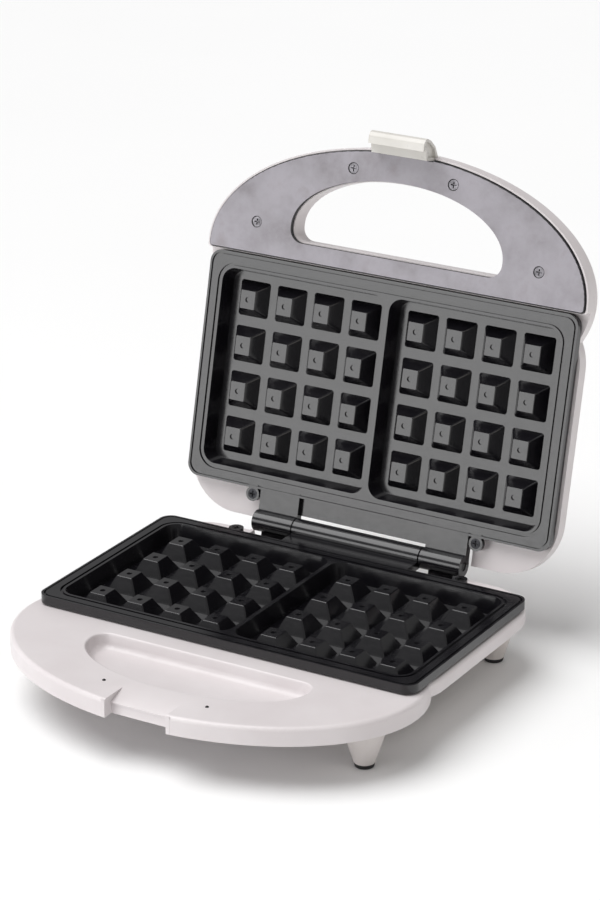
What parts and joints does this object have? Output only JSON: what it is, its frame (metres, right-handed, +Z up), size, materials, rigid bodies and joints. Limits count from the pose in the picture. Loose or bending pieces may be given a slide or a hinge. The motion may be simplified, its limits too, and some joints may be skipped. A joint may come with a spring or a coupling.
{
  "type": "waffle maker",
  "caption": "Electric waffle maker: two hinged studded plates in white plastic halves, a grip with a finger hole, a front latch clip and short tapered legs.",
  "frame": {"origin": "on the surface the feet stand on, under the middle of the lower cooking plate", "axes": "+Z up, -Y towards the grips and the latch, +X to the right seen from the front; the hinge runs along X at the back"},
  "size_m": [0.238, 0.2908, 0.2667],
  "materials": {
    "white_shell": "moulded white plastic, fine satin texture",
    "white_cover": "moulded white plastic, satin",
    "latch_plastic": "moulded white plastic, satin, ribbed front",
    "grey_panel": "moulded grey plastic, fine spark-eroded texture",
    "plate_coating": "cast aluminium with a dark non-stick coating",
    "rubber_feet": "moulded rubber, matte",
    "dark_steel": "blackened steel",
    "zinc_screws": "zinc-plated steel",
    "grey_screws": "grey-lacquered steel",
    "heater_sheath": "oxidised steel tube",
    "ceramic_bush": "white steatite",
    "tab_brass": "plain brass",
    "shield_sheet": "bright sheet",
    "phenolic": "dark phenolic",
    "fuse_case": "tinned metal case",
    "lead_jacket": "silicone-rubber insulated leads",
    "red_lens": "clear red lens",
    "green_lens": "clear green lens",
    "lamp_glass": "clear glass envelope"
  },
  "bodies": {
    "base": {"base_housing": "white_shell", "base_wiring": "lead_jacket", "bottom_cover": "white_cover", "cord_clamp": "phenolic", "cord_gland": "white_shell", "deck_bumpers": "rubber_feet", "foot_pads": "rubber_feet", "hinge_rod": "dark_steel", "leg_front_left": "white_cover", "leg_front_right": "white_cover", "leg_rear_left": "white_cover", "leg_rear_right": "white_cover", "leg_screws": "zinc_screws", "lower_ear_screws": "dark_steel", "lower_heat_shield": "shield_sheet", "lower_heater": "heater_sheath", "lower_heater_insulators": "ceramic_bush", "lower_heater_tabs": "tab_brass", "lower_plate": "plate_coating", "lower_plate_screws": "zinc_screws", "lower_shield_screws": "zinc_screws", "terminal_block": "phenolic", "thermal_fuse": "fuse_case", "thermostat": "phenolic"},
    "lid": {"upper_ear_screws": "dark_steel", "upper_heat_shield": "shield_sheet", "upper_heater": "heater_sheath", "upper_heater_insulators": "ceramic_bush", "upper_heater_tabs": "tab_brass", "upper_plate": "plate_coating", "upper_plate_screws": "zinc_screws", "upper_shield_screws": "zinc_screws", "lid_housing": "white_shell", "handle_panel": "grey_panel", "panel_screws": "grey_screws", "latch_pin": "dark_steel", "lamp_lens_power": "red_lens", "lamp_lens_ready": "green_lens", "neon_lamps": "lamp_glass", "lamp_holder": "phenolic", "lid_wiring": "lead_jacket"},
    "latch": {"latch_clip": "latch_plastic"}
  },
  "joints": [
    {"name": "lid_hinge", "type": "hinge", "parent": "base", "child": "lid", "pos_m": [0, 0.0825, 0.0423], "axis": [1, 0, 0], "range_deg": [0, 103]},
    {"name": "latch_pivot", "type": "hinge", "parent": "lid", "child": "latch", "pos_m": [0, 0.13696, 0.25151], "axis": [-1, 0, 0], "range_deg": [0, 40]}
  ]
}
